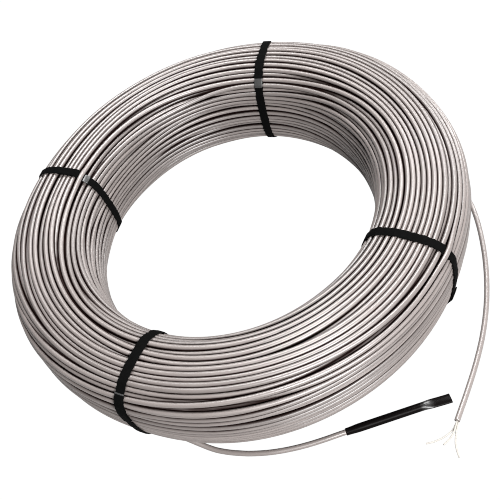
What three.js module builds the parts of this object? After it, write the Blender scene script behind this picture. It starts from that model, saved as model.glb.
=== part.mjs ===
// A floor heating cable as it is sold: a thin grey cable wound into a fat ring, four narrow
// hook-and-loop straps round the ring, and the cable's two ends lying beside it on the floor.
// One end is closed by a black heat-shrunk sleeve, the other shows three bare-ended wires.
// Millimetres, +Z up. The origin is on the floor, on the ring's axis.
import * as THREE from "three";

// The cable.
const cableDiameter = 4.8;
const cableSides = 10;
const clearance = 0.35;
const floorClearance = 0.2;

// The wound ring and its section, a rounded rectangle whose top leans a little outwards.
const ringOuterRadius = 220;
const ringInnerRadius = 142;
const ringHeight = 98;
const sectionExponent = 3.2;
const sectionLean = 0.06;
const ringSegments = 48;

// Each turn on the ring's surface is a ridge. Between most of them the valley is shallow, and every
// few turns it is a gap that shows how deep the winding is.
const valleyDepth = 1.8;
const gapDepth = 4.6;
const turnsPerGap = 4;

// How far the winding is out of round at its rim and its eye: the cosine and sine strength of its
// waves that go once and twice round the coil.
const rimWaves = [
  [0, 0],
  [2.6, 4.6],
];
const eyeWaves = [
  [-2.3, 2.2],
  [-0.2, 2.7],
];

// The straps, one at each of these angles round the ring.
const strapAngles = [62, 146.5, 231, 317];
const strapWidth = 8.6;
const strapThickness = 1.3;
const strapFlattening = 0.25;
const strapSteps = 52;
const strapOverlapStart = 34;
const strapOverlapLength = 34;

// The sleeve that closes the heating end: round, then pinched flat at its tip.
const sleeveLength = 94;
const sleeveMouthDiameter = 6.2;
const sleeveBodyDiameter = 7.4;
const sleeveTipWidth = 8.2;
const sleeveTipThickness = 3.2;
const sleeveTaperEnd = 0.14;
const sleevePinchStart = 0.72;
const sleevePinchEnd = 0.8;
const sleeveSides = 16;
const sleeveSteps = 18;

// The wires that come out of the lead's cut end.
const wireDiameter = 1.4;
const wireSides = 8;
const wireStep = 2.4;
const wireSpread = 1.05;

// Routes of the two ends and of the wires, points on their centre lines.
const floorHeight = cableDiameter / 2 + floorClearance;
const sleeveHeight = sleeveBodyDiameter / 2 + floorClearance;
const wireHeight = wireDiameter / 2 + floorClearance;
const tailRoute = [
  [-131.2, -172.2, 10.2],
  [-125.3, -175.3, 8.6],
  [-118.9, -178.6, 6.8],
  [-107.8, -185.0, 3.8],
  [-96.6, -192.2, floorHeight],
  [-85.2, -199.5, floorHeight],
  [-73.2, -206.4, floorHeight],
  [-65.2, -210.2, floorHeight],
  [-57.2, -213.6, floorHeight],
  [-40.3, -218.9, floorHeight],
  [-22.6, -222.4, floorHeight],
  [-5.4, -224.4, floorHeight + 0.3],
  [10.0, -225.3, floorHeight + 0.9],
  [20.0, -225.5, sleeveHeight - 0.1],
  [27.4, -225.7, sleeveHeight],
];
const leadRoute = [
  [211.7, 46.9, 10.2],
  [212.2, 33.4, 7.0],
  [214.6, 19.0, 4.2],
  [218.3, 4.5, floorHeight],
  [222.3, -11.0, floorHeight],
  [225.7, -27.0, floorHeight],
  [227.3, -42.0, floorHeight],
  [225.4, -57.4, floorHeight],
  [220.5, -78.6, floorHeight],
  [211.8, -106.0, floorHeight],
  [201.2, -132.0, floorHeight],
  [188.4, -157.4, floorHeight],
  [172.4, -183.2, floorHeight],
  [155.6, -205.6, floorHeight],
  [137.6, -226.8, floorHeight],
  [117.4, -249.2, floorHeight],
];
// Each wire starts at its own place on the lead's cut face, across and up from its centre.
const wireRoutes = [
  {
    across: -0.87,
    up: -0.5,
    points: [
      [112.2, -253.9, 1.4],
      [108.0, -256.0, wireHeight],
      [101.2, -257.9, wireHeight],
      [93.0, -258.6, wireHeight],
      [86.0, -257.8, wireHeight],
    ],
  },
  {
    across: 0,
    up: 1,
    points: [
      [112.9, -254.9, 2.9],
      [109.0, -258.6, 1.9],
      [104.6, -261.3, wireHeight + 0.1],
      [98.8, -263.8, wireHeight],
    ],
  },
  {
    across: 0.87,
    up: -0.5,
    points: [
      [114.3, -255.2, 1.3],
      [111.6, -259.6, wireHeight],
      [108.5, -265.6, wireHeight],
      [106.8, -271.6, wireHeight],
      [106.0, -278.0, wireHeight],
    ],
  },
];

const jacketMaterial = new THREE.MeshStandardMaterial({ color: 0xb9aeaa, roughness: 0.42, metalness: 0 });
const strapMaterial = new THREE.MeshStandardMaterial({ color: 0x121112, roughness: 0.9, metalness: 0 });
const sleeveMaterial = new THREE.MeshStandardMaterial({ color: 0x151313, roughness: 0.45, metalness: 0 });
const wireMaterial = new THREE.MeshStandardMaterial({ color: 0xeceae6, roughness: 0.5, metalness: 0 });

const sectionHalfWidth = (ringOuterRadius - ringInnerRadius) / 2;
const sectionHalfHeight = ringHeight / 2;
const sectionRadius = (ringOuterRadius + ringInnerRadius) / 2;
const sectionCentre = clearance + strapThickness - strapFlattening + sectionHalfHeight;

// A point of the ring's section at angle t: a superellipse, its height measured from the middle.
function sectionPoint(t) {
  const power = 2 / sectionExponent;
  const across = Math.sign(Math.cos(t)) * Math.abs(Math.cos(t)) ** power * sectionHalfWidth;
  const up = Math.sign(Math.sin(t)) * Math.abs(Math.sin(t)) ** power * sectionHalfHeight;
  return new THREE.Vector2(sectionRadius + across + sectionLean * up, sectionCentre + up);
}

// The section as a closed outline of evenly spaced points, each with its outward normal.
// It starts half a step from the lowest point, so that the underside is one level edge.
function sectionOutline(count) {
  const fineCount = 4000;
  const fine = Array.from({ length: fineCount + 1 }, (_, i) =>
    sectionPoint(-Math.PI / 2 + (2 * Math.PI * i) / fineCount),
  );
  const reached = [0];
  for (let i = 1; i <= fineCount; i++) {
    reached.push(reached[i - 1] + fine[i].distanceTo(fine[i - 1]));
  }
  const perimeter = reached[fineCount];
  const outline = [];
  let k = 0;
  for (let i = 0; i < count; i++) {
    const wanted = ((i + 0.5) / count) * perimeter;
    while (reached[k + 1] < wanted) k++;
    const share = (wanted - reached[k]) / (reached[k + 1] - reached[k]);
    const point = fine[k].clone().lerp(fine[k + 1], share);
    const along = fine[k + 1].clone().sub(fine[k]).normalize();
    outline.push({ point, normal: new THREE.Vector2(along.y, -along.x), arc: wanted });
  }
  return { outline, perimeter };
}

// Moves a turned solid in or out to the winding's own shape at each point's angle round the coil.
function pressOutOfRound(geometry) {
  const waveAt = (waves, angle) =>
    waves.reduce((sum, [c, s], i) => sum + c * Math.cos((i + 1) * angle) + s * Math.sin((i + 1) * angle), 0);
  const position = geometry.getAttribute("position");
  for (let i = 0; i < position.count; i++) {
    const radius = Math.hypot(position.getX(i), position.getY(i));
    const angle = Math.atan2(position.getY(i), position.getX(i));
    const share = (radius - ringInnerRadius) / (ringOuterRadius - ringInnerRadius);
    const shift = THREE.MathUtils.lerp(waveAt(eyeWaves, angle), waveAt(rimWaves, angle), share);
    position.setX(i, (radius + shift) * Math.cos(angle));
    position.setY(i, (radius + shift) * Math.sin(angle));
  }
  return geometry;
}

// The wound ring as one turned solid, a ridge for each turn on its surface.
function makeRing() {
  const turns = turnsPerGap * Math.round(sectionOutline(4).perimeter / cableDiameter / turnsPerGap);
  const { outline } = sectionOutline(2 * turns);
  const profile = outline.map(({ point, normal }, i) => {
    if (i % 2 === 1) return point;
    return point.clone().addScaledVector(normal, i % (2 * turnsPerGap) === 0 ? -gapDepth : -valleyDepth);
  });
  profile.push(profile[0].clone());
  const ring = new THREE.LatheGeometry(profile, ringSegments);
  ring.rotateX(Math.PI / 2);
  return pressOutOfRound(ring);
}

// One strap: a flat band that follows the section all round at its angle, doubled where its end
// overlaps.
function makeStrap(angle) {
  const facetSag = ringInnerRadius * (1 - Math.cos(Math.PI / ringSegments));
  const gap = clearance + facetSag;
  const { outline, perimeter } = sectionOutline(strapSteps);
  const overlapFrom = perimeter / 2 - strapOverlapStart;
  const inside = [];
  const outside = [];
  for (const { point, normal, arc } of outline) {
    const intoOverlap = (arc - overlapFrom) / strapOverlapLength;
    const layers = intoOverlap >= 0 && intoOverlap <= 1 ? 2 - intoOverlap ** 2 * 0.6 : 1;
    inside.push(point.clone().addScaledVector(normal, normal.y < -0.9 ? clearance : gap));
    const face = point.clone().addScaledVector(normal, gap + strapThickness * layers);
    outside.push(new THREE.Vector2(face.x, Math.max(face.y, 0)));
  }
  const band = new THREE.Shape(outside);
  band.holes.push(new THREE.Path(inside));
  const strap = new THREE.ExtrudeGeometry(band, { depth: strapWidth, bevelEnabled: false });
  strap.translate(0, 0, -strapWidth / 2);
  strap.rotateX(Math.PI / 2);
  strap.rotateZ(THREE.MathUtils.degToRad(angle));
  return pressOutOfRound(strap);
}

// A round cord of the given diameter along a smooth curve through the points.
function makeCord(points, diameter, sides, stepLength) {
  const route = new THREE.CatmullRomCurve3(points.map((p) => new THREE.Vector3(...p)), false, "centripetal");
  const circle = Array.from({ length: sides }, (_, i) => {
    const angle = (2 * Math.PI * i) / sides;
    return new THREE.Vector2(Math.cos(angle), Math.sin(angle)).multiplyScalar(diameter / 2);
  });
  const steps = Math.round(route.getLength() / stepLength);
  return new THREE.ExtrudeGeometry(new THREE.Shape(circle), { steps, extrudePath: route, bevelEnabled: false });
}

// The sleeve's width and thickness at a share of its length.
function sleeveSection(share) {
  const taper = THREE.MathUtils.smoothstep(share, 0, sleeveTaperEnd);
  const pinch = THREE.MathUtils.smoothstep(share, sleevePinchStart, sleevePinchEnd);
  const round = THREE.MathUtils.lerp(sleeveMouthDiameter, sleeveBodyDiameter, taper);
  return {
    width: THREE.MathUtils.lerp(round, sleeveTipWidth, pinch),
    thickness: THREE.MathUtils.lerp(round, sleeveTipThickness, pinch),
  };
}

// The sleeve: a closed cylinder along +X whose rings take the section of their own place.
// Its pinched tip droops to the floor.
function makeSleeve() {
  const sleeve = new THREE.CylinderGeometry(0.5, 0.5, sleeveLength, sleeveSides, sleeveSteps);
  sleeve.rotateZ(-Math.PI / 2);
  sleeve.translate(sleeveLength / 2, 0, 0);
  const position = sleeve.getAttribute("position");
  for (let i = 0; i < position.count; i++) {
    const share = position.getX(i) / sleeveLength;
    const { width, thickness } = sleeveSection(share);
    const droop = THREE.MathUtils.smoothstep(share, sleevePinchStart, 1) * (sleeveHeight - sleeveTipThickness / 2);
    position.setY(i, position.getY(i) * width);
    position.setZ(i, position.getZ(i) * thickness - droop);
  }
  return sleeve;
}

// A wire's centre line from its place on the lead's cut face to its free end.
function wirePoints({ across, up, points }) {
  const end = new THREE.Vector3(...leadRoute.at(-1));
  const forward = end.clone().sub(new THREE.Vector3(...leadRoute.at(-2))).setZ(0).normalize();
  const sideways = new THREE.Vector3(-forward.y, forward.x, 0);
  const start = end
    .clone()
    .addScaledVector(forward, clearance)
    .addScaledVector(sideways, across * wireSpread);
  start.z += up * wireSpread;
  return [start.toArray(), ...points];
}

function named(name, geometry, material) {
  const mesh = new THREE.Mesh(geometry, material);
  mesh.name = name;
  return mesh;
}

const cable = new THREE.Group();
cable.add(named("cable_coil", makeRing(), jacketMaterial));

strapAngles.forEach((angle, i) => {
  cable.add(named(`strap_${i + 1}`, makeStrap(angle), strapMaterial));
});

cable.add(named("end_tail", makeCord(tailRoute, cableDiameter, cableSides, 2 * cableDiameter), jacketMaterial));

const sleeve = named("end_sleeve", makeSleeve(), sleeveMaterial);
const tailEnd = new THREE.Vector3(...tailRoute.at(-1));
const tailHeading = tailEnd.clone().sub(new THREE.Vector3(...tailRoute.at(-2)));
sleeve.rotation.z = Math.atan2(tailHeading.y, tailHeading.x);
sleeve.position.copy(tailEnd).add(new THREE.Vector3(clearance, 0, 0).applyEuler(sleeve.rotation));
cable.add(sleeve);

cable.add(named("cold_lead", makeCord(leadRoute, cableDiameter, cableSides, 2 * cableDiameter), jacketMaterial));

wireRoutes.forEach((route, i) => {
  cable.add(named(`lead_wire_${i + 1}`, makeCord(wirePoints(route), wireDiameter, wireSides, wireStep), wireMaterial));
});

export default cable;
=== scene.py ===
"""A coil of floor heating cable: every turn of the winding, its four straps and its two free ends.

Lengths are in metres, angles round the coil in degrees from +X unless a name says otherwise.
"""

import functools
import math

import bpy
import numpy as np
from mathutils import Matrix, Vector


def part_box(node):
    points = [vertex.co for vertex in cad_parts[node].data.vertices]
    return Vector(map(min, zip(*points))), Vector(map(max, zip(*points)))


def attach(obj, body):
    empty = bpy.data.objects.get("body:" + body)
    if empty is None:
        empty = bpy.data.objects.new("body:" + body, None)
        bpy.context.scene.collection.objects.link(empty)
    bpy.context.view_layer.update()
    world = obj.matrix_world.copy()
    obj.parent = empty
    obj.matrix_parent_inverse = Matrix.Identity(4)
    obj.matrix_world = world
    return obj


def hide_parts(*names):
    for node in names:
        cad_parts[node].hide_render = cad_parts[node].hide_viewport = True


bl_info = {
    "name": "Heating Cable Coil",
    "version": (1, 0, 0),
    "blender": (4, 5, 0),
    "location": "View3D > Sidebar > Heating Cable",
    "description": "Winds a coil of heating cable, straps it and lays its free ends beside it",
    "category": "Object",
}

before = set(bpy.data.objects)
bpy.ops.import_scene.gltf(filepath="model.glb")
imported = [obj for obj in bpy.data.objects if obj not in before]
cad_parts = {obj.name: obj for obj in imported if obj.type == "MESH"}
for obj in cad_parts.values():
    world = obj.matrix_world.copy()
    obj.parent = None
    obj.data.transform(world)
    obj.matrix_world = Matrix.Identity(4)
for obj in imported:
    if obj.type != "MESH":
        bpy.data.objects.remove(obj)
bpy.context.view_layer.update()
BODY = "root"
MM = 0.001

_, COIL_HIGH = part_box("cable_coil")
FLOOR = 0.0
COIL_RADIUS = 220 * MM

# The section of the winding is a rounded rectangle, a superellipse whose top leans outwards. The
# last two lines say how far it reaches past the coil's radius and the CAD model's height.
SECTION_EXPONENT = 3.2
SECTION_LEAN = 0.06
WINDING_WIDTH = 80 * MM
RIM_RISE = 1.6 * MM
CROWN_RISE = 1.8 * MM

# The straps draw the winding in by these depths at its rim, eye, crown and base.
RIM_PINCH = 1.2 * MM
EYE_PINCH = 0.6 * MM
CROWN_PINCH = 1.6 * MM
BASE_PINCH = 1.5 * MM
STRAP_SPREAD = 9.0

# The rim is a little lower where the two free ends leave it.
EXIT_ANGLES = [12.5, 232.7]
EXIT_DENT = 2.0 * MM
EXIT_SPREAD = 8.0
LEAVING_LENGTH = 60 * MM

# How the turns are wound: the angles they are worked out at, the rounds of settling, how many
# waves a turn may bend in at first, near the end and at last, how far it wanders, how uneven the
# surface is, how hard the turns press outwards, how close they lie in diameters, how much that
# changes on the way round, and what share of them keep how many more diameters clear.
SEED = 5
STATIONS = 96
ROUNDS = 480
STIFFNESS_WAVES = 8
FREE_WAVES = 1.4 * STIFFNESS_WAVES
LAST_WAVES = 1.2 * STIFFNESS_WAVES
TURN_WANDER = 0.8 * MM
DEPTH_SPREAD = 1.1 * MM
DEPTH_SHAPE = 0.9
DEPTH_SWING = 0.6
OUTWARD_PRESS = 0.10 * MM
CLOSEST = 0.95
SWELL_WAVE = 0.45
SPREAD_SHARE = 0.4
SPREAD_MOST = 1.15

# The rounds at which the turns stop being circles, stop wandering, stop pressing outwards and are
# no longer smoothed. Each round settles this share of the overlaps with this many nearest turns.
CIRCLE_ROUNDS = ROUNDS // 5
WANDER_ROUNDS = ROUNDS // 2
PRESS_ROUNDS = ROUNDS * 4 // 5
SMOOTH_ROUNDS = ROUNDS - 12
PUSH_SHARE = 0.4
SETTLED_NEIGHBOURS = 18

# How far the real winding is out of round, as the strength of its first two waves round the coil.
OUTER_WAVES = {1: (2.8 * MM, -2.7 * MM), 2: (2.6 * MM, 4.6 * MM)}
INNER_WAVES = {1: (-2.3 * MM, 2.2 * MM), 2: (-0.2 * MM, 2.7 * MM)}

# Each strap: its angle round the coil, where its free end stops, how long that end's smooth tab is,
# whose lighter colour is a painted highlight, and where a turn of cable lies over it. The last angles
# are round the section, from its rim upwards.
STRAPS = [
    {"node": "strap_1", "angle": 62.0, "lap_end": 133.0, "tab": 8.5 * MM, "turn_over": None},
    {"node": "strap_2", "angle": 146.5, "lap_end": 124.5, "tab": 5.5 * MM, "turn_over": 115.9},
    {"node": "strap_3", "angle": 231.0, "lap_end": 53.7, "tab": 0.7 * MM, "turn_over": None},
    {"node": "strap_4", "angle": 317.0, "lap_end": -20.0, "tab": 0.0, "turn_over": 51.4},
]

# How far a tape laps its start, where it climbs onto it, measured back from a whole round, how
# uneven its edges are, and the powers that round its section off sideways and up. The last three
# lines are for a turn over a strap: its lift, over how many degrees, and how long the tape's dip is.
LAP_LENGTH = 34 * MM
LAP_CLIMB = (7 * MM, 1 * MM)
TAPE_UNEVENNESS = 0.45 * MM
TAPE_POWERS = (0.35, 0.6)
TURN_LIFT = 3.0 * MM
TURN_LIFT_SPREAD = 4.0
STRAP_DIP_SPREAD = 2.8 * MM

# How finely a tape is drawn: the directions its outline is looked for in, the outline's points, the
# tape's own rows and the points round its section.
OUTLINE_DIRECTIONS = 1440
OUTLINE_POINTS = 720
TAPE_ROWS = 620
TAPE_SIDES = 16

# How the turns are drawn: at how many angles, how many of them finely, and the least nearness to
# the surface of a turn that may lie over a strap.
FINE_STATIONS = 180
SURFACE_TURNS = 150
SURFACE_NEARNESS = 0.9

# Light in the gaps, which sets the jacket's painted shade there: how far from upright, in degrees,
# how many rays leave a point, and past how many of the nearest turns.
RAY_LEAN = 75
RAYS = 11
SHADING_NEIGHBOURS = 16

# How far apart along their length the patterns of two neighbouring turns start, in metres.
PATTERN_SHIFT = 0.37

# Centre lines of the free ends and of the lead's wires, in millimetres, as they lie on the floor.
# CABLE_MM, SLEEVE_MM and WIRE_MM are the heights at which each of them lies.
SLEEVE_RADIUS_MM = 3.7
WIRE_RADIUS_MM = 0.7
FLOOR_GAP_MM = 0.2
CABLE_MM = 2.4 + FLOOR_GAP_MM
SLEEVE_MM = SLEEVE_RADIUS_MM + FLOOR_GAP_MM
WIRE_MM = WIRE_RADIUS_MM + FLOOR_GAP_MM
TAIL_ROUTE_MM = [
    (-131.2, -172.2, 10.2),
    (-125.3, -175.3, 8.6),
    (-118.9, -178.6, 6.8),
    (-107.8, -185.0, 3.8),
    (-96.6, -192.2, CABLE_MM),
    (-85.2, -199.5, CABLE_MM),
    (-73.2, -206.4, CABLE_MM),
    (-65.2, -210.2, CABLE_MM),
    (-57.2, -213.6, CABLE_MM),
    (-40.3, -218.9, CABLE_MM),
    (-22.6, -222.4, CABLE_MM),
    (-5.4, -224.4, CABLE_MM + 0.3),
    (10.0, -225.3, CABLE_MM + 0.9),
    (20.0, -225.5, SLEEVE_MM - 0.1),
    (27.4, -225.7, SLEEVE_MM),
]
LEAD_ROUTE_MM = [
    (211.7, 46.9, 10.2),
    (212.2, 33.4, 7.0),
    (214.6, 19.0, 4.2),
    (218.3, 4.5, CABLE_MM),
    (222.3, -11.0, CABLE_MM),
    (225.7, -27.0, CABLE_MM),
    (227.3, -42.0, CABLE_MM),
    (225.4, -57.4, CABLE_MM),
    (220.5, -78.6, CABLE_MM),
    (211.8, -106.0, CABLE_MM),
    (201.2, -132.0, CABLE_MM),
    (188.4, -157.4, CABLE_MM),
    (172.4, -183.2, CABLE_MM),
    (155.6, -205.6, CABLE_MM),
    (137.6, -226.8, CABLE_MM),
    (117.4, -249.2, CABLE_MM),
]
WIRE_ROUTES_MM = [
    [(117.6, -249.0, 2.0), (112.2, -253.9, 1.4), (108.0, -256.0, WIRE_MM), (101.2, -257.9, WIRE_MM),
     (93.0, -258.6, WIRE_MM), (86.0, -257.8, WIRE_MM)],
    [(117.2, -249.4, 3.4), (112.9, -254.9, 2.9), (109.0, -258.6, 1.9), (104.6, -261.3, WIRE_MM + 0.1),
     (98.8, -263.8, WIRE_MM)],
    [(118.0, -250.0, 2.0), (114.3, -255.2, 1.3), (111.6, -259.6, WIRE_MM), (108.5, -265.6, WIRE_MM),
     (106.8, -271.6, WIRE_MM), (106.0, -278.0, WIRE_MM)],
]

# The sleeve's half sizes at its mouth and its flat tip, the parts of its length between which its
# mouth widens, it is pinched and it droops, and where it was squeezed and shines.
SLEEVE_MOUTH = 3.15 * MM
TIP_HALF_WIDTH = 4.4 * MM
TIP_HALF_THICKNESS = 1.5 * MM
MOUTH_SHARE = (0.0, 0.14)
PINCH_SHARE = (0.72, 0.82)
DROOP_SHARE = (0.72, 1.0)
SQUEEZED_AT = 0.77
SQUEEZED_SPREAD = 0.035

# The wires' rows of points are this far apart.
WIRE_STEP = 0.4 * MM

# The jacket's brightness on the dullest and the palest turn, how much of its red, green and blue is
# left in the painted shade of gaps that no light enters, the shares of open sky between which that
# painted shade fades in, and the values that free ends have instead of the turns' own.
DULLEST_TURN = 0.66
PALEST_TURN = 1.24
PAINTED_SHADE_SHARE = (0.055, 0.032, 0.03)
DARK_SKY = 0.3
LIGHT_SKY = 0.95
FREE_END_VALUES = {"turn_shade": 0.6, "open_sky": 1.0}

# The photograph's viewpoint: its aim, distance, height above the horizon, roll and lens.
CAMERA_AIM = Vector((3.4, -26.6, 32.0)) * MM
CAMERA_DISTANCE = 0.75
CAMERA_ELEVATION = math.radians(52.0)
CAMERA_ROLL = math.radians(-19.98)
CAMERA_LENS_MM = 54.74
CAMERA_SENSOR_MM = 36.0

# How bright the light table is to the camera, and how much of what the camera sees of it is glow.
TABLE_GLOW = 1.03
TABLE_GLOW_SHARE = 0.985


def srgb(colour):
    """The linear red, green, blue and alpha of an sRGB hex colour such as #a0b0c0."""
    values = [int(colour[i : i + 2], 16) / 255 for i in (1, 3, 5)]
    linear = [v / 12.92 if v <= 0.04045 else ((v + 0.055) / 1.055) ** 2.4 for v in values]
    return (*linear, 1.0)


def smoothstep(x, low, high):
    """Zero below low, one above high, and 3t^2 - 2t^3 between them."""
    t = np.clip((x - low) / (high - low), 0.0, 1.0)
    return t * t * (3 - 2 * t)


class HeatingCableSizes(bpy.types.PropertyGroup):
    """Sizes of the cable, its winding and its straps."""

    cable_diameter: bpy.props.FloatProperty(
        name="Cable diameter", description="Outside diameter of the cable's jacket",
        default=4.8 * MM, min=1 * MM, unit="LENGTH")
    turn_count: bpy.props.IntProperty(
        name="Turns", description="Turns of cable in the winding", default=210, min=20)
    winding_width: bpy.props.FloatProperty(
        name="Winding width", description="Width of the winding's section, from its eye to its rim",
        default=WINDING_WIDTH, min=10 * MM, unit="LENGTH")
    strap_width: bpy.props.FloatProperty(
        name="Strap width", description="Width of the tape", default=8.6 * MM, min=2 * MM, unit="LENGTH")
    strap_thickness: bpy.props.FloatProperty(
        name="Strap thickness", description="Thickness of one layer of the tape",
        default=1.2 * MM, min=0.2 * MM, unit="LENGTH")


class HeatingCableColours(bpy.types.PropertyGroup):
    """Colours of the cable's jacket, straps, sleeve and wires."""

    jacket: bpy.props.FloatVectorProperty(
        name="Jacket", description="Colour of the grey PVC jacket", subtype="COLOR", size=4,
        default=srgb("#7c7471"), min=0, max=1)
    strap: bpy.props.FloatVectorProperty(
        name="Straps", description="Colour of the hook-and-loop tape", subtype="COLOR", size=4,
        default=srgb("#040404"), min=0, max=1)
    sleeve: bpy.props.FloatVectorProperty(
        name="Sleeve", description="Colour of the heat-shrunk sleeve", subtype="COLOR", size=4,
        default=srgb("#070505"), min=0, max=1)
    wire: bpy.props.FloatVectorProperty(
        name="Wires", description="Colour of the wires' insulation", subtype="COLOR", size=4,
        default=srgb("#a09c96"), min=0, max=1)


class HeatingCableStudio(bpy.types.PropertyGroup):
    """Strengths of the studio's lights."""

    overhead_power: bpy.props.FloatProperty(
        name="Overhead light", description="Power of the softbox above the coil",
        default=36.0, min=0, unit="POWER")
    front_power: bpy.props.FloatProperty(
        name="Front light", description="Power of the softbox in front of the coil",
        default=48.0, min=0, unit="POWER")
    side_power: bpy.props.FloatProperty(
        name="Side light", description="Power of the softbox to the right of the coil",
        default=14.0, min=0, unit="POWER")
    ambient: bpy.props.FloatProperty(
        name="Ambient light", description="Strength of the white surroundings", default=0.16, min=0)


def add_node(tree, kind, settings=None, values=None, links=None):
    """A new node with its settings, its unlinked input values and its links from other sockets."""
    node = tree.nodes.new(kind)
    for name, value in (settings or {}).items():
        setattr(node, name, value)
    for name, value in (values or {}).items():
        node.inputs[name].default_value = value
    for name, socket in (links or {}).items():
        tree.links.new(socket, node.inputs[name])
    return node


def new_material(name):
    """An empty node material and its output node."""
    material = bpy.data.materials.new(name)
    material.use_nodes = True
    tree = material.node_tree
    tree.nodes.clear()
    output = add_node(tree, "ShaderNodeOutputMaterial")
    return material, tree, output


def times(colour, factor):
    """A colour a given number of times as bright."""
    return (*[min(1.0, part * factor) for part in colour[:3]], 1.0)


def noise(tree, scale, detail, place):
    """A noise pattern at a place, with this many grains a unit of length."""
    return add_node(
        tree, "ShaderNodeTexNoise", values={"Scale": scale, "Detail": detail},
        links={"Vector": place}).outputs["Fac"]


def cable_noise(tree, along, around, detail):
    """A noise pattern on a cable: how many grains a metre along it and how many in a turn round it."""
    uv = add_node(tree, "ShaderNodeUVMap", {"uv_map": "along_cable"}).outputs["UV"]
    place = add_node(
        tree, "ShaderNodeMapping", values={"Scale": (along, around, 1)}, links={"Vector": uv})
    return noise(tree, 1.0, detail, place.outputs["Vector"])


def point_value(tree, name):
    """A number that the mesh holds for each of its points."""
    return add_node(tree, "ShaderNodeAttribute", {"attribute_name": name}).outputs["Fac"]


def tone(tree, colour, dark, light, share):
    """The colour, dark times as bright where the share is 0 and light times where it is 1."""
    return add_node(
        tree, "ShaderNodeMix", {"data_type": "RGBA"},
        {6: times(colour, dark), 7: times(colour, light)}, {0: share}).outputs[2]


def bump(tree, strength, distance, height):
    """The surface's normal, tilted as if the height pattern rose and fell by the distance."""
    return add_node(
        tree, "ShaderNodeBump", values={"Strength": strength, "Distance": distance},
        links={"Height": height}).outputs["Normal"]


def finish_material(tree, output, values, links):
    """Gives a material its one shader."""
    shader = add_node(tree, "ShaderNodeBsdfPrincipled", values=values, links=links)
    tree.links.new(shader.outputs["BSDF"], output.inputs["Surface"])


def jacket_material(colour):
    """Grey PVC jacket, extruded and semi-gloss, a shade lighter or darker from turn to turn.

    The die leaves faint lines along the cable, 0.5 mm apart, and handling leaves dull patches some
    40 mm long. Between turns that shut out the light, the jacket's colour is painted darker and its
    shine turned down: painted shade in the gaps.
    """
    painted_gap_shade = (*[part * share for part, share in zip(colour, PAINTED_SHADE_SHARE)], 1.0)
    material, tree, output = new_material("extruded_pvc_jacket")
    lines = cable_noise(tree, 4, 30, 2.0)
    patches = cable_noise(tree, 25, 3, 3.0)
    turn = tone(tree, colour, DULLEST_TURN, PALEST_TURN, point_value(tree, "turn_shade"))
    worn = add_node(
        tree, "ShaderNodeMix", {"data_type": "RGBA", "blend_type": "MULTIPLY"}, {0: 0.25},
        {6: turn, 7: patches})
    # Painted shade: where little sky is open, the colour goes to the painted gap shade and the shine to
    # nothing.
    openness = add_node(
        tree, "ShaderNodeMapRange", {"interpolation_type": "SMOOTHSTEP"},
        {"From Min": DARK_SKY, "From Max": LIGHT_SKY, "To Min": 0.0, "To Max": 1.0},
        {"Value": point_value(tree, "open_sky")})
    lit = add_node(
        tree, "ShaderNodeMix", {"data_type": "RGBA"}, {6: painted_gap_shade},
        {0: openness.outputs["Result"], 7: worn.outputs[2]})
    shine = add_node(
        tree, "ShaderNodeMath", {"operation": "MULTIPLY"}, {1: 0.9}, {0: openness.outputs["Result"]})
    roughness = add_node(
        tree, "ShaderNodeMapRange",
        values={"From Min": 0.3, "From Max": 0.7, "To Min": 0.34, "To Max": 0.46},
        links={"Value": patches})
    finish_material(tree, output, {"IOR": 1.54}, {
        "Base Color": lit.outputs[2], "Roughness": roughness.outputs["Result"],
        "Specular IOR Level": shine.outputs["Value"], "Normal": bump(tree, 0.25, 0.1 * MM, lines)})
    return material


def strap_material(colour):
    """Black nylon hook-and-loop tape: matt, with loops 0.5 mm apart in tufts of some 2.5 mm."""
    material, tree, output = new_material("nylon_loop_tape")
    place = add_node(tree, "ShaderNodeTexCoord").outputs["Object"]
    loops = noise(tree, 1 / (0.5 * MM), 2.0, place)
    tufts = noise(tree, 1 / (2.5 * MM), 2.0, place)
    finish_material(tree, output, {"Roughness": 0.95, "Specular IOR Level": 0.05}, {
        "Base Color": tone(tree, colour, 0.5, 1.8, tufts), "Normal": bump(tree, 0.8, 0.3 * MM, loops)})
    return material


def tab_highlight_material(colour):
    """The tape's heat-sealed end: the same nylon melted smooth and glossier, with its colour painted 14
    to 34 times as light as the tape's, a painted highlight.
    """
    material, tree, output = new_material("heat_sealed_nylon_painted_highlight")
    place = add_node(tree, "ShaderNodeTexCoord").outputs["Object"]
    ripples = noise(tree, 1 / (1.1 * MM), 1.0, place)
    finish_material(tree, output, {"Roughness": 0.4, "IOR": 1.53}, {
        "Base Color": tone(tree, colour, 14, 34, ripples), "Normal": bump(tree, 0.4, 0.1 * MM, ripples)})
    return material


def sleeve_material(colour):
    """Black heat-shrunk polyolefin: satin, with wrinkles along it, 8 mm long and 2.6 mm apart.

    Where the hot tube was squeezed flat its skin is smoother and shines more.
    """
    material, tree, output = new_material("heat_shrunk_polyolefin")
    wrinkles = cable_noise(tree, 120, 9, 4.0)
    shine = add_node(
        tree, "ShaderNodeMapRange", values={"To Min": 0.04, "To Max": 1.2},
        links={"Value": point_value(tree, "squeezed")})
    finish_material(tree, output, {"Roughness": 0.4, "IOR": 1.5}, {
        "Base Color": tone(tree, colour, 0.6, 1.8, wrinkles),
        "Specular IOR Level": shine.outputs["Result"], "Normal": bump(tree, 0.45, 0.25 * MM, wrinkles)})
    return material


def wire_material(colour):
    """White PVC wire insulation: smooth, a little glossy, its tone uneven every few millimetres."""
    material, tree, output = new_material("white_wire_insulation")
    grain = cable_noise(tree, 300, 4, 2.0)
    finish_material(tree, output, {"Roughness": 0.6, "Specular IOR Level": 0.2}, {
        "Base Color": tone(tree, colour, 0.88, 1, grain), "Normal": bump(tree, 0.2, 0.05 * MM, grain)})
    return material


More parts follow.
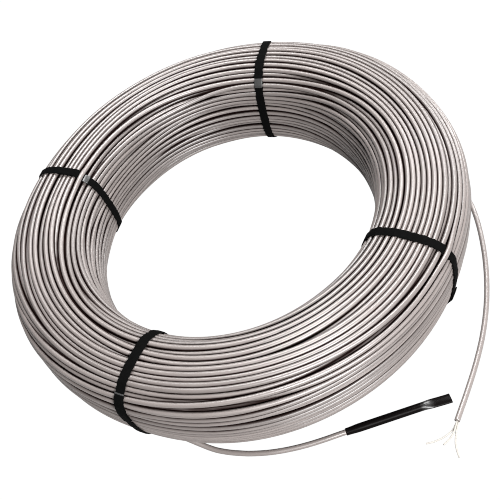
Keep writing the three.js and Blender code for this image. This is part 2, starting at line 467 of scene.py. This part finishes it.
def grid_mesh(
        name, points, materials, closed=(False, False), uv=None, values=None, caps=False, rows=None):
    """A piece made from grids of points, put in place as whole arrays.

    points is (strips, along, across, 3): each strip is a sheet of quads along its second axis and
    across its third, and closed says whether each of these goes back to its start. caps closes the
    ends of tubes that aren't closed along. uv is (strips, faces along + 1, faces across + 1, 2),
    values holds numbers a point by attribute name, and rows a material index for each row of faces.
    """
    strips, along, across, _ = points.shape
    quads_along = along if closed[0] else along - 1
    quads_across = across if closed[1] else across - 1
    row, column = np.meshgrid(np.arange(quads_along), np.arange(quads_across), indexing="ij")
    next_row, next_column = (row + 1) % along, (column + 1) % across
    quad = np.stack([row * across + column, row * across + next_column,
                     next_row * across + next_column, next_row * across + column], axis=-1)
    first = np.arange(strips)[:, None, None, None] * along * across
    loops = (first + quad[None]).ravel()
    quads = len(loops) // 4
    starts = np.arange(quads) * 4
    if caps:
        rim = np.arange(across)
        ends = first[:, 0, 0] + np.stack([rim[::-1], rim + (along - 1) * across])[:, None, :]
        starts = np.concatenate([starts, len(loops) + np.arange(2 * strips) * across])
        loops = np.concatenate([loops, ends.ravel()])
    mesh = bpy.data.meshes.new(name)
    mesh.vertices.add(strips * along * across)
    mesh.vertices.foreach_set("co", np.ascontiguousarray(points, np.float32).ravel())
    mesh.loops.add(len(loops))
    mesh.loops.foreach_set("vertex_index", loops.astype(np.int32))
    mesh.polygons.add(len(starts))
    mesh.polygons.foreach_set("loop_start", starts.astype(np.int32))
    mesh.polygons.foreach_set("use_smooth", np.arange(len(starts)) < quads)
    if rows is not None:
        index = np.tile(np.repeat(rows, quads_across), strips)
        index = np.concatenate([index, np.full(len(starts) - quads, index[-1])])
        mesh.polygons.foreach_set("material_index", index.astype(np.int32))
    mesh.update(calc_edges=True)
    if uv is not None:
        corners = np.stack([uv[:, :-1, :-1], uv[:, :-1, 1:], uv[:, 1:, 1:], uv[:, 1:, :-1]], axis=3)
        layer = np.zeros((len(loops), 2), np.float32)
        layer[: 4 * quads] = corners.reshape(-1, 2)
        mesh.uv_layers.new(name="along_cable").uv.foreach_set("vector", layer.ravel())
    for attribute, value in (values or {}).items():
        whole = np.broadcast_to(value, points.shape[:3])
        data = mesh.attributes.new(attribute, "FLOAT", "POINT").data
        data.foreach_set("value", np.ascontiguousarray(whole, np.float32).ravel())
    for material in materials:
        mesh.materials.append(material)
    piece = bpy.data.objects.new(name, mesh)
    bpy.context.collection.objects.link(piece)
    return piece


def wave(waves, angle):
    """Sum of c cos(k angle) + s sin(k angle) over the given waves k."""
    return sum(c * np.cos(k * angle) + s * np.sin(k * angle) for k, (c, s) in waves.items())


def bell_along(x, centre, spread):
    """exp(-((x - centre) / spread)^2)."""
    return np.exp(-(((x - centre) / spread) ** 2))


def bell(angle, centres, spread):
    """Sum of exp(-(away / spread)^2) over the centres, in degrees, away being the angle to each."""
    away = np.angle(np.exp(1j * (np.asarray(angle)[..., None] - np.radians(centres))))
    return np.sum(np.exp(-((away / math.radians(spread)) ** 2)), axis=-1)


def winding_section(angle, diameter, width):
    """Centre and half sizes of the space that the turns' centre lines may take, at each angle."""
    radius = diameter / 2
    pinch = bell(angle, [strap["angle"] for strap in STRAPS], STRAP_SPREAD)
    rim = COIL_RADIUS + RIM_RISE - radius + wave(OUTER_WAVES, angle) - RIM_PINCH * pinch
    rim = rim - EXIT_DENT * bell(angle, EXIT_ANGLES, EXIT_SPREAD)
    eye = COIL_RADIUS + RIM_RISE - width + radius + wave(INNER_WAVES, angle) + EYE_PINCH * pinch
    high = COIL_HIGH.z - radius + CROWN_RISE - CROWN_PINCH * pinch
    low = FLOOR + radius + 0.3 * MM + BASE_PINCH * pinch
    return (rim + eye) / 2, (rim - eye) / 2, (high + low) / 2, (high - low) / 2


def settle_turns(diameter, turns, width):
    """Radius and height of every turn's centre at evenly spaced angles, (turns, stations, 2).

    The turns start scattered over the section. Then, over and over, any two that are closer than
    they like are pushed apart, all are pressed outwards and kept inside the section, and each is
    smoothed along its length, because the cable is too stiff for short bends. At first they stay
    true circles, so that no two twist round each other, and then they begin to wander.
    """
    random = np.random.default_rng(SEED)
    angle = np.arange(STATIONS) * 2 * np.pi / STATIONS
    middle, half_width, level, half_height = winding_section(angle, diameter, width)

    start = random.uniform(-1, 1, (turns * 4, 2))
    start = start[np.sum(np.abs(start) ** SECTION_EXPONENT, axis=1) < 1][:turns]
    height = level + start[:, 1:] * half_height
    from_axis = middle + start[:, :1] * half_width + SECTION_LEAN * (height - level)
    place = np.stack([from_axis, height], axis=-1)

    wander = np.zeros_like(place)
    for k in range(1, 5):
        swing = random.normal(0, TURN_WANDER / k, (2, turns, 1, 2))
        wander += swing[0] * np.cos(k * angle)[:, None] + swing[1] * np.sin(k * angle)[:, None]

    # Each turn keeps its own distance below the winding's surface, which changes slowly.
    swing = np.sin(random.integers(1, 4, (turns, 1)) * angle + random.uniform(0, 2 * np.pi, (turns, 1)))
    depth = random.gamma(DEPTH_SHAPE, DEPTH_SPREAD, (turns, 1)) * (1 + DEPTH_SWING * swing)
    # Some turns keep their neighbours off for part of the way round, which leaves dark gaps.
    swell = np.repeat(random.normal(0, 1, (turns, 1)), STATIONS, axis=1)
    for k in range(1, 4):
        strength = random.normal(0, SWELL_WAVE, (turns, 1))
        swell += strength * np.cos(k * angle + random.uniform(0, 2 * np.pi, (turns, 1)))
    low, high = np.quantile(swell, [1 - SPREAD_SHARE, 0.995])
    room = diameter * (CLOSEST + SPREAD_MOST * smoothstep(swell, low, high))

    for step in range(ROUNDS):
        if CIRCLE_ROUNDS <= step < WANDER_ROUNDS:
            place = place + wander / (WANDER_ROUNDS - CIRCLE_ROUNDS)
        if step % 10 == 0:
            beside = nearest_turns(place, SETTLED_NEIGHBOURS)
        away = place[:, None] - place[beside]
        gap = np.sqrt(np.sum(away**2, axis=-1)) + 1e-9
        needed = (room[:, None] + room[beside]) / 2
        push = away * (np.clip(needed - gap, 0, None) / gap)[..., None]
        place = place + PUSH_SHARE * np.sum(push, axis=1)
        lean = SECTION_LEAN * (place[..., 1] - level)
        offset = place - np.stack([middle + lean, np.broadcast_to(level, lean.shape)], axis=-1)
        if step < PRESS_ROUNDS:
            outwards = OUTWARD_PRESS * offset / np.stack([half_width, half_height], axis=-1)
            place = place + outwards
            offset = offset + outwards
        reach = np.stack([half_width - depth, half_height - depth], axis=-1)
        outside = np.sum(np.abs(offset / reach) ** SECTION_EXPONENT, axis=-1)
        place = place + offset * (np.maximum(outside, 1.0) ** (-1 / SECTION_EXPONENT) - 1)[..., None]
        if step < CIRCLE_ROUNDS:
            place = np.repeat(np.mean(place, axis=1, keepdims=True), STATIONS, axis=1)
        elif step % 4 == 0 and step < SMOOTH_ROUNDS:
            waves = STIFFNESS_WAVES if step < PRESS_ROUNDS else FREE_WAVES
            place = without_short_bends(place, waves)
    return without_short_bends(place, LAST_WAVES)


@functools.lru_cache(maxsize=1)
def wind_turns(diameter, turns, width):
    """The settled turns at finer angles, those that lie over a strap lifted across it.

    Returns their centres, (turns, stations, 2), the number of the turn over each such strap, and
    how near the surface each turn comes: 1 on it, less inside.
    """
    place = finer(settle_turns(diameter, turns, width), FINE_STATIONS)
    angle = np.arange(FINE_STATIONS) * 2 * np.pi / FINE_STATIONS
    middle, half_width, level, half_height = winding_section(angle, diameter, width)
    u = (place[..., 0] - middle - SECTION_LEAN * (place[..., 1] - level)) / half_width
    v = (place[..., 1] - level) / half_height
    nearness = np.abs(u) ** SECTION_EXPONENT + np.abs(v) ** SECTION_EXPONENT
    over = {}
    for strap in STRAPS:
        if strap["turn_over"] is None:
            continue
        at = round(strap["angle"] / 360 * FINE_STATIONS) % FINE_STATIONS
        wanted = math.radians(strap["turn_over"])
        direction = np.arctan2(v[:, at] * half_height[at], u[:, at] * half_width[at])
        away = np.abs(np.angle(np.exp(1j * (direction - wanted))))
        away = away + 2 * np.clip(SURFACE_NEARNESS - nearness[:, at], 0, None)
        turn = int(np.argmin(away))
        over[strap["node"]] = turn
        spot = np.array([u[turn, at], v[turn, at]])
        slope = np.sign(spot) * np.abs(spot) ** (SECTION_EXPONENT - 1)
        lift = TURN_LIFT * slope / np.linalg.norm(slope)
        place[turn] += lift * bell(angle, [strap["angle"]], TURN_LIFT_SPREAD)[:, None]
    return place, over, np.max(nearness, axis=1)


def sky_share(place, group, radius, sides):
    """How open to the sky each point of the group's turns is, (turns, stations, sides), 0 to 1.

    Rays leave the point across the turns, at up to RAY_LEAN from its normal. The share is the sum
    of the cosines of the rays that pass the nearest turns, over the sum of all the cosines.
    """
    beside = nearest_turns(place, SHADING_NEIGHBOURS)[group]
    lean = np.radians(np.linspace(-RAY_LEAN, RAY_LEAN, RAYS))
    weight = np.cos(lean) / np.sum(np.cos(lean))
    facing = -np.arange(sides) * 2 * np.pi / sides
    normal = np.stack([np.cos(facing), np.sin(facing)], axis=-1)
    ray = facing[:, None] + lean
    share = np.empty((len(group), place.shape[1], sides))
    for station in range(place.shape[1]):
        at = place[:, station]
        start = at[group][:, None] + radius * normal
        to_x, to_y = np.moveaxis(at[beside][:, None] - start[:, :, None], -1, 0)[:, :, :, None]
        ahead = to_x * np.cos(ray)[..., None] + to_y * np.sin(ray)[..., None]
        across = to_x * np.sin(ray)[..., None] - to_y * np.cos(ray)[..., None]
        blocked = np.any((ahead > 0) & (np.abs(across) < radius), axis=-1)
        share[:, station] = np.sum(weight * ~blocked, axis=-1)
    return share


def nearest_turns(place, count):
    """Indices of each turn's closest neighbours, by the least distance at any angle."""
    least = np.full((len(place), len(place)), np.inf)
    for station in range(0, place.shape[1], 6):
        at = place[:, station]
        least = np.minimum(least, np.sum((at[:, None] - at[None]) ** 2, axis=-1))
    np.fill_diagonal(least, np.inf)
    return np.argsort(least, axis=1)[:, :count]


def without_short_bends(place, waves):
    """The same closed turns with their waves k faded by exp(-(k / waves)^4)."""
    strength = np.fft.rfft(place, axis=1)
    fade = np.exp(-((np.arange(strength.shape[1]) / waves) ** 4))
    return np.fft.irfft(strength * fade[:, None], place.shape[1], axis=1)


def finer(place, stations):
    """The same closed turns at more angles, by padding their waves with zeros."""
    waves = np.fft.rfft(place, axis=1)
    padded = np.zeros((place.shape[0], stations // 2 + 1, 2), complex)
    count = min(waves.shape[1], padded.shape[1])
    padded[:, :count] = waves[:, :count]
    return np.fft.irfft(padded, stations, axis=1) * (stations / place.shape[1])


def turns_piece(name, place, radius, sides, material, shade, sky):
    """One piece of several closed turns, each a circle of the cable's radius swept round Z.

    At angle p round the coil and q round the cable, a point's radius is r(p) + R cos q and its
    height z(p) + R sin q. UVs are metres along the cable and turns round it.
    """
    stations = place.shape[1]
    angle = (np.arange(stations) * 2 * np.pi / stations)[:, None]
    facing = -np.arange(sides) * 2 * np.pi / sides
    r = place[..., 0, None] + radius * np.cos(facing)
    z = place[..., 1, None] + radius * np.sin(facing)
    points = np.stack([r * np.cos(angle), r * np.sin(angle), z], axis=-1)
    lengths = np.linspace(0, 2 * np.pi, stations + 1) * np.mean(place[..., 0], axis=1)[:, None]
    along = lengths + PATTERN_SHIFT * np.arange(len(place))[:, None]
    uv = np.stack(np.broadcast_arrays(along[..., None], np.linspace(0, 1, sides + 1)), axis=-1)
    values = {"turn_shade": shade[:, None, None], "open_sky": sky}
    return grid_mesh(name, points, [material], closed=(True, True), uv=uv, values=values)


def smooth_route(points_mm, spacing):
    """A centripetal Catmull-Rom curve through the points, at even spacing in metres."""
    points = np.array(points_mm, float) * MM
    ends = np.vstack([2 * points[0] - points[1], points, 2 * points[-1] - points[-2]])
    knots = np.concatenate([[0], np.cumsum(np.sqrt(np.linalg.norm(np.diff(ends, axis=0), axis=1)))])
    share = np.linspace(0, 1, 40, endpoint=False)
    pieces = []
    for i in range(1, len(ends) - 2):
        t0, t1, t2, t3 = knots[i - 1 : i + 3]
        p0, p1, p2, p3 = ends[i - 1 : i + 3]
        t = (t1 + (t2 - t1) * share)[:, None]
        a1 = (t1 - t) / (t1 - t0) * p0 + (t - t0) / (t1 - t0) * p1
        a2 = (t2 - t) / (t2 - t1) * p1 + (t - t1) / (t2 - t1) * p2
        a3 = (t3 - t) / (t3 - t2) * p2 + (t - t2) / (t3 - t2) * p3
        b1 = (t2 - t) / (t2 - t0) * a1 + (t - t0) / (t2 - t0) * a2
        b2 = (t3 - t) / (t3 - t1) * a2 + (t - t1) / (t3 - t1) * a3
        pieces.append((t2 - t) / (t2 - t1) * b1 + (t - t1) / (t2 - t1) * b2)
    fine = np.vstack([*pieces, points[-1:]])
    reached = np.concatenate([[0], np.cumsum(np.linalg.norm(np.diff(fine, axis=0), axis=1))])
    count = max(4, int(round(reached[-1] / spacing))) + 1
    wanted = np.linspace(0, reached[-1], count)
    return np.stack([np.interp(wanted, reached, fine[:, k]) for k in range(3)], axis=1), wanted


def leave_turn(path, place, length):
    """The path moved so that it starts in the turn nearest to it and leaves it over the length.

    The part t of the way along is shifted by 1 - smoothstep(t) of its distance from that turn.
    """
    angle = np.arctan2(path[:, 1], path[:, 0]) % (2 * np.pi)
    r = np.hypot(path[:, 0], path[:, 1])
    at = np.arange(place.shape[1] + 1) * 2 * np.pi / place.shape[1]
    closed = np.concatenate([place, place[:, :1]], axis=1)
    here = np.stack([[np.interp(angle[0], at, turn[:, k]) for k in range(2)] for turn in closed])
    turn = closed[np.argmin(np.hypot(here[:, 0] - r[0], here[:, 1] - path[0, 2]))]
    travelled = np.concatenate([[0], np.cumsum(np.linalg.norm(np.diff(path, axis=0), axis=1))])
    share = 1 - smoothstep(travelled, 0, length)
    r = r + share * (np.interp(angle, at, turn[:, 0]) - r)
    z = path[:, 2] + share * (np.interp(angle, at, turn[:, 1]) - path[:, 2])
    moved = np.stack([r * np.cos(angle), r * np.sin(angle), z], axis=1)
    return moved, np.concatenate([[0], np.cumsum(np.linalg.norm(np.diff(moved, axis=0), axis=1))])


def sweep_frames(path):
    """Sideways and upward unit vectors across a path that stays near the level."""
    forward = np.gradient(path, axis=0)
    forward /= np.linalg.norm(forward, axis=1, keepdims=True)
    side = np.cross(forward, (0.0, 0.0, 1.0))
    side /= np.linalg.norm(side, axis=1, keepdims=True)
    return side, np.cross(side, forward)


def swept_piece(name, path, reached, half_width, half_thickness, sides, material, values=None):
    """A tube along a path, closed by flat caps.

    Its section at each point is an ellipse of the given half sizes: w cos q sideways, t sin q up.
    """
    side, up = sweep_frames(path)
    q = -np.arange(sides) * 2 * np.pi / sides
    w = np.broadcast_to(half_width, len(path))[:, None]
    t = np.broadcast_to(half_thickness, len(path))[:, None]
    points = path[:, None] + (w * np.cos(q))[..., None] * side[:, None]
    points = points + (t * np.sin(q))[..., None] * up[:, None]
    uv = np.stack(np.broadcast_arrays(reached[:, None], np.linspace(0, 1, sides + 1)), axis=-1)
    values = values or FREE_END_VALUES
    return grid_mesh(
        name, points[None], [material], closed=(False, True), uv=uv[None], values=values, caps=True)


def dress(piece, slot, *nodes):
    """Makes a piece ride on the coil and hides the nodes it stands for. The slot is not used."""
    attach(piece, BODY)
    if nodes:
        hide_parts(*nodes)
    return piece


class CABLE_OT_stage(bpy.types.Operator):
    """Set up the camera at the photograph's viewpoint, the pale floor and the soft lights"""

    bl_idname = "heating_cable.stage"
    bl_label = "Camera, Floor and Lights"

    def execute(self, context):
        studio = context.scene.heating_cable_studio
        self.add_camera(context)
        self.add_floor(context)
        self.add_softbox(
            context, "overhead_softbox", (0.25, 0.55, 1.4), (0.7, 0.5), studio.overhead_power)
        self.add_softbox(context, "front_softbox", (0.35, -1.25, 0.95), (0.6, 0.4), studio.front_power)
        self.add_softbox(context, "side_softbox", (1.2, 0.75, 0.75), (0.5, 0.5), studio.side_power)
        world = bpy.data.worlds.new("white_studio")
        context.scene.world = world
        world.use_nodes = True
        world.node_tree.nodes.clear()
        seen = add_node(world.node_tree, "ShaderNodeLightPath").outputs["Is Camera Ray"]
        strength = add_node(
            world.node_tree, "ShaderNodeMapRange", values={"To Min": studio.ambient, "To Max": 1.0},
            links={"Value": seen})
        background = add_node(
            world.node_tree, "ShaderNodeBackground", values={"Color": srgb("#ffffff")},
            links={"Strength": strength.outputs["Result"]})
        add_node(
            world.node_tree, "ShaderNodeOutputWorld", links={"Surface": background.outputs["Background"]})
        context.scene.view_settings.view_transform = "Standard"
        context.scene.cycles.filter_width = 1.0
        return {"FINISHED"}

    def add_camera(self, context):
        """The camera looks along +Y and down at its aim, and is rolled like the photograph."""
        data = bpy.data.cameras.new("photo_camera")
        data.lens = CAMERA_LENS_MM
        data.sensor_width = CAMERA_SENSOR_MM
        camera = bpy.data.objects.new("photo_camera", data)
        context.collection.objects.link(camera)
        back = Vector((0, -math.cos(CAMERA_ELEVATION), math.sin(CAMERA_ELEVATION)))
        tilt = Matrix.Rotation(math.pi / 2 - CAMERA_ELEVATION, 4, "X")
        roll = Matrix.Rotation(CAMERA_ROLL, 4, "Z")
        camera.matrix_world = Matrix.Translation(CAMERA_AIM + back * CAMERA_DISTANCE) @ tilt @ roll
        context.scene.camera = camera

    def add_floor(self, context):
        """A level light table, 6 m wide, that glows evenly to the camera, with a faint shadow."""
        reach = 3.0
        x, y = np.meshgrid([-reach, reach], [-reach, reach], indexing="ij")
        points = np.stack([x, y, np.full_like(x, FLOOR - 0.1 * MM)], axis=-1)[None]
        material, tree, output = new_material("light_table")
        paper = add_node(tree, "ShaderNodeBsdfDiffuse", values={"Color": srgb("#969696")})
        glow = add_node(tree, "ShaderNodeEmission", values={"Strength": TABLE_GLOW})
        seen = add_node(tree, "ShaderNodeLightPath").outputs["Is Camera Ray"]
        share = add_node(
            tree, "ShaderNodeMath", {"operation": "MULTIPLY"}, {1: TABLE_GLOW_SHARE}, {0: seen})
        shader = add_node(
            tree, "ShaderNodeMixShader",
            links={0: share.outputs["Value"], 1: paper.outputs["BSDF"], 2: glow.outputs["Emission"]})
        tree.links.new(shader.outputs["Shader"], output.inputs["Surface"])
        floor = grid_mesh("studio_floor", points, [material])

    def add_softbox(self, context, name, place, size, power):
        """A rectangular area light that faces the coil."""
        data = bpy.data.lights.new(name, "AREA")
        data.shape = "RECTANGLE"
        data.size, data.size_y = size
        data.energy = power
        light = bpy.data.objects.new(name, data)
        context.collection.objects.link(light)
        light.location = place
        light.rotation_euler = (-Vector(place)).to_track_quat("-Z", "Y").to_euler()


class CABLE_OT_free_ends(bpy.types.Operator):
    """Lay the heating end with its sleeve and the cold lead with its three wires on the floor"""

    bl_idname = "heating_cable.free_ends"
    bl_label = "Free Ends"

    def execute(self, context):
        sizes = context.scene.heating_cable_sizes
        colours = context.scene.heating_cable_colours
        jacket = jacket_material(tuple(colours.jacket))
        sleeve = sleeve_material(tuple(colours.sleeve))
        insulation = wire_material(tuple(colours.wire))
        radius = sizes.cable_diameter / 2

        place, _, _ = wind_turns(sizes.cable_diameter, sizes.turn_count, sizes.winding_width)

        route = smooth_route(TAIL_ROUTE_MM, radius / 2)[0]
        tail_path, tail_reached = leave_turn(route, place, LEAVING_LENGTH)
        tail = swept_piece("end_tail_cable", tail_path, tail_reached, radius, radius, 20, jacket)
        dress(tail, "cable_jacket", "end_tail")
        cap = dress(self.add_sleeve(tail_path, sleeve), "heat_shrink", "end_sleeve")

        route = smooth_route(LEAD_ROUTE_MM, radius / 2)[0]
        lead_path, lead_reached = leave_turn(route, place, LEAVING_LENGTH)
        lead = swept_piece("cold_lead_cable", lead_path, lead_reached, radius, radius, 20, jacket)
        dress(lead, "cable_jacket", "cold_lead")
        for number, route in enumerate(WIRE_ROUTES_MM, start=1):
            path, reached = smooth_route(route, WIRE_STEP)
            name = f"lead_wire_{number}_insulation"
            half = WIRE_RADIUS_MM * MM
            wire = swept_piece(name, path, reached, half, half, 12, insulation)
            dress(wire, "wire_insulation", f"lead_wire_{number}")
        return {"FINISHED"}

    def add_sleeve(self, tail_path, material):
        """A tube that starts round, swells a little and is pinched flat at its drooping tip."""
        low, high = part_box("end_sleeve")
        start = Vector(tail_path[-1])
        heading = Vector(tail_path[-1] - tail_path[-8])
        heading = Vector((heading.x, heading.y, 0)).normalized()
        length = high.x - low.x
        share = np.linspace(0, 1, 120)
        widening = SLEEVE_RADIUS_MM * MM - SLEEVE_MOUTH
        round_half = SLEEVE_MOUTH + widening * smoothstep(share, *MOUTH_SHARE)
        pinch = smoothstep(share, *PINCH_SHARE)
        half_width = round_half + (TIP_HALF_WIDTH - round_half) * pinch
        half_thickness = round_half + (TIP_HALF_THICKNESS - round_half) * pinch
        path = np.array(start)[None] + np.outer(share * length, np.array(heading))
        droop = SLEEVE_MM * MM - TIP_HALF_THICKNESS - FLOOR_GAP_MM * MM
        path[:, 2] = SLEEVE_MM * MM - smoothstep(share, *DROOP_SHARE) * droop
        path[:, 2] = np.maximum(path[:, 2], half_thickness + 0.1 * MM)
        squeezed = bell_along(share, SQUEEZED_AT, SQUEEZED_SPREAD)[None, :, None]
        return swept_piece(
            "heat_shrunk_sleeve", path, share * length, half_width, half_thickness, 28, material,
            {"squeezed": squeezed})


class CABLE_OT_winding(bpy.types.Operator):
    """Wind every turn of the coil"""

    bl_idname = "heating_cable.winding"
    bl_label = "Winding"

    def execute(self, context):
        sizes = context.scene.heating_cable_sizes
        place, _, nearness = wind_turns(sizes.cable_diameter, sizes.turn_count, sizes.winding_width)
        radius = sizes.cable_diameter / 2
        jacket = bpy.data.materials["extruded_pvc_jacket"]
        shade = np.clip(np.random.default_rng(SEED).normal(0.5, 0.22, len(place)), 0, 1)
        # Turns near the surface are drawn round, and the hidden ones with fewer sides and rings.
        order = np.argsort(-nearness)
        groups = [(group, 10, 1) for group in np.array_split(order[:SURFACE_TURNS], 3)]
        groups.append((order[SURFACE_TURNS:], 6, 2))
        for number, (group, sides, skip) in enumerate(groups, start=1):
            turns = place[:, ::skip]
            # How open each point is to the sky, which sets the jacket's painted shade in the gaps.
            sky = sky_share(turns, group, radius, sides)
            name = f"winding_turns_{number}"
            piece = turns_piece(name, turns[group], radius, sides, jacket, shade[group], sky)
            dress(piece, "cable_jacket", "cable_coil")
        return {"FINISHED"}


def hull_outline(centres, reach, count):
    """The outline that a tight band takes round discs: each direction's furthest disc, plus reach.

    Returns (count, 2) points evenly spaced along the outline, from its outermost point upwards,
    their outward normals, their distances along it, and its whole length.
    """
    direction = np.linspace(0, 2 * np.pi, OUTLINE_DIRECTIONS, endpoint=False)
    facing = np.stack([np.cos(direction), np.sin(direction)], axis=1)
    corners = centres[np.argmax(centres @ facing.T, axis=0)] + reach * facing
    closed = np.vstack([corners, corners[:1]])
    reached = np.concatenate([[0], np.cumsum(np.linalg.norm(np.diff(closed, axis=0), axis=1))])
    wanted = np.linspace(0, reached[-1], count, endpoint=False)
    points = np.stack([np.interp(wanted, reached, closed[:, k]) for k in range(2)], axis=1)
    along = np.roll(points, -1, axis=0) - np.roll(points, 1, axis=0)
    normal = np.stack([along[:, 1], -along[:, 0]], axis=1)
    return points, normal / np.linalg.norm(normal, axis=1, keepdims=True), wanted, reached[-1]


class CABLE_OT_straps(bpy.types.Operator):
    """Pull four tapes tight round the winding, each with its overlapping end"""

    bl_idname = "heating_cable.straps"
    bl_label = "Straps"

    def execute(self, context):
        sizes = context.scene.heating_cable_sizes
        colours = context.scene.heating_cable_colours
        tape = strap_material(tuple(colours.strap))
        tab = tab_highlight_material(tuple(colours.strap))
        place, over, _ = wind_turns(sizes.cable_diameter, sizes.turn_count, sizes.winding_width)
        for strap in STRAPS:
            piece = self.add_strap(strap, place, over.get(strap["node"]), sizes, [tape, tab])
            dress(piece, "strap_webbing", strap["node"])
        return {"FINISHED"}

    def add_strap(self, strap, place, turn_over, sizes, materials):
        """One tape, wound once round the section and on over its own start to its free end.

        At distance s along it, its underside is at the tight outline's point, raised by one
        thickness where it laps its start. Its section is a flat strip with rounded edges: at q
        round it, W/2 |cos q|^a sideways and T/2 (1 + |sin q|^b) up, each with the sign of its
        cosine or sine, where a and b are TAPE_POWERS.
        """
        radius, thick = sizes.cable_diameter / 2, sizes.strap_thickness
        stations = place.shape[1]
        at = round(strap["angle"] / 360 * stations)
        under = np.delete(place, turn_over, axis=0) if turn_over is not None else place
        centres = under[:, np.arange(at - 1, at + 2) % stations].reshape(-1, 2)
        outline, normal, reached, perimeter = hull_outline(centres, radius + 0.1 * MM, OUTLINE_POINTS)
        if turn_over is not None:
            # The tape dips where the turn over it presses it down between its neighbours.
            lifted = place[turn_over, at % stations]
            away = np.linalg.norm(outline - lifted, axis=1)
            nearest = reached[np.argmin(away)]
            clear = np.min(away) - radius - thick - 0.15 * MM
            dip = min(clear, 0.0) * np.exp(-(((reached - nearest) / STRAP_DIP_SPREAD) ** 2))
            outline = outline + dip[:, None] * normal

        middle = (outline.min(axis=0) + outline.max(axis=0)) / 2
        direction = np.arctan2(*(outline - middle).T[::-1])
        away = np.abs(np.angle(np.exp(1j * (direction - math.radians(strap["lap_end"])))))
        start = reached[np.argmin(away)] - LAP_LENGTH
        s = np.linspace(0, perimeter + LAP_LENGTH, TAPE_ROWS)
        wrapped = (start + s) % perimeter
        around = np.concatenate([outline, normal], axis=1).T
        around = np.stack([np.interp(wrapped, reached, row, period=perimeter) for row in around], axis=1)
        base, out = around[:, :2], around[:, 2:]
        climb = smoothstep(s, perimeter - LAP_CLIMB[0], perimeter - LAP_CLIMB[1])
        base = base + out * (thick * climb)[:, None]

        random = np.random.default_rng(round(strap["angle"]))
        edges = np.convolve(random.normal(0, TAPE_UNEVENNESS, len(s) + 3), np.ones(4) / 4, "valid")
        q = -np.arange(TAPE_SIDES) * 2 * np.pi / TAPE_SIDES
        sideways = np.sign(np.cos(q)) * np.abs(np.cos(q)) ** TAPE_POWERS[0]
        across = sideways * (sizes.strap_width / 2 + edges)[:, None]
        height = (np.sign(np.sin(q)) * np.abs(np.sin(q)) ** TAPE_POWERS[1] + 1) / 2 * thick
        r = base[:, :1] + out[:, :1] * height
        z = np.maximum(base[:, 1:] + out[:, 1:] * height, FLOOR + 0.05 * MM)
        angle = math.radians(strap["angle"])
        points = np.stack([r * math.cos(angle) - across * math.sin(angle),
                           r * math.sin(angle) + across * math.cos(angle), z], axis=-1)
        # The last rows, the tab, take the material whose lighter colour is a painted highlight.
        rows = (s[1:] > s[-1] - strap["tab"]).astype(int)
        name = f"{strap['node']}_tape"
        return grid_mesh(name, points[None], materials, closed=(False, True), caps=True, rows=rows)


class CABLE_PT_panel(bpy.types.Panel):
    """The steps that make the coil, in their order"""

    bl_label = "Heating Cable Coil"
    bl_idname = "CABLE_PT_panel"
    bl_space_type = "VIEW_3D"
    bl_region_type = "UI"
    bl_category = "Heating Cable"

    def draw(self, context):
        layout = self.layout
        for group in (context.scene.heating_cable_sizes, context.scene.heating_cable_colours,
                      context.scene.heating_cable_studio):
            for name in group.__annotations__:
                layout.prop(group, name)
        for operator in OPERATORS:
            layout.operator(operator.bl_idname)


OPERATORS = (CABLE_OT_stage, CABLE_OT_free_ends, CABLE_OT_winding, CABLE_OT_straps)
GROUPS = {
    "heating_cable_sizes": HeatingCableSizes,
    "heating_cable_colours": HeatingCableColours,
    "heating_cable_studio": HeatingCableStudio,
}
CLASSES = (*GROUPS.values(), *OPERATORS, CABLE_PT_panel)


def register():
    for cls in CLASSES:
        bpy.utils.register_class(cls)
    for name, group in GROUPS.items():
        setattr(bpy.types.Scene, name, bpy.props.PointerProperty(type=group))


def unregister():
    for name in GROUPS:
        delattr(bpy.types.Scene, name)
    for cls in reversed(CLASSES):
        bpy.utils.unregister_class(cls)


def main():
    register()
    bpy.ops.heating_cable.stage()
    bpy.ops.heating_cable.free_ends()
    bpy.ops.heating_cable.winding()
    bpy.ops.heating_cable.straps()


if __name__ == "__main__":
    main()
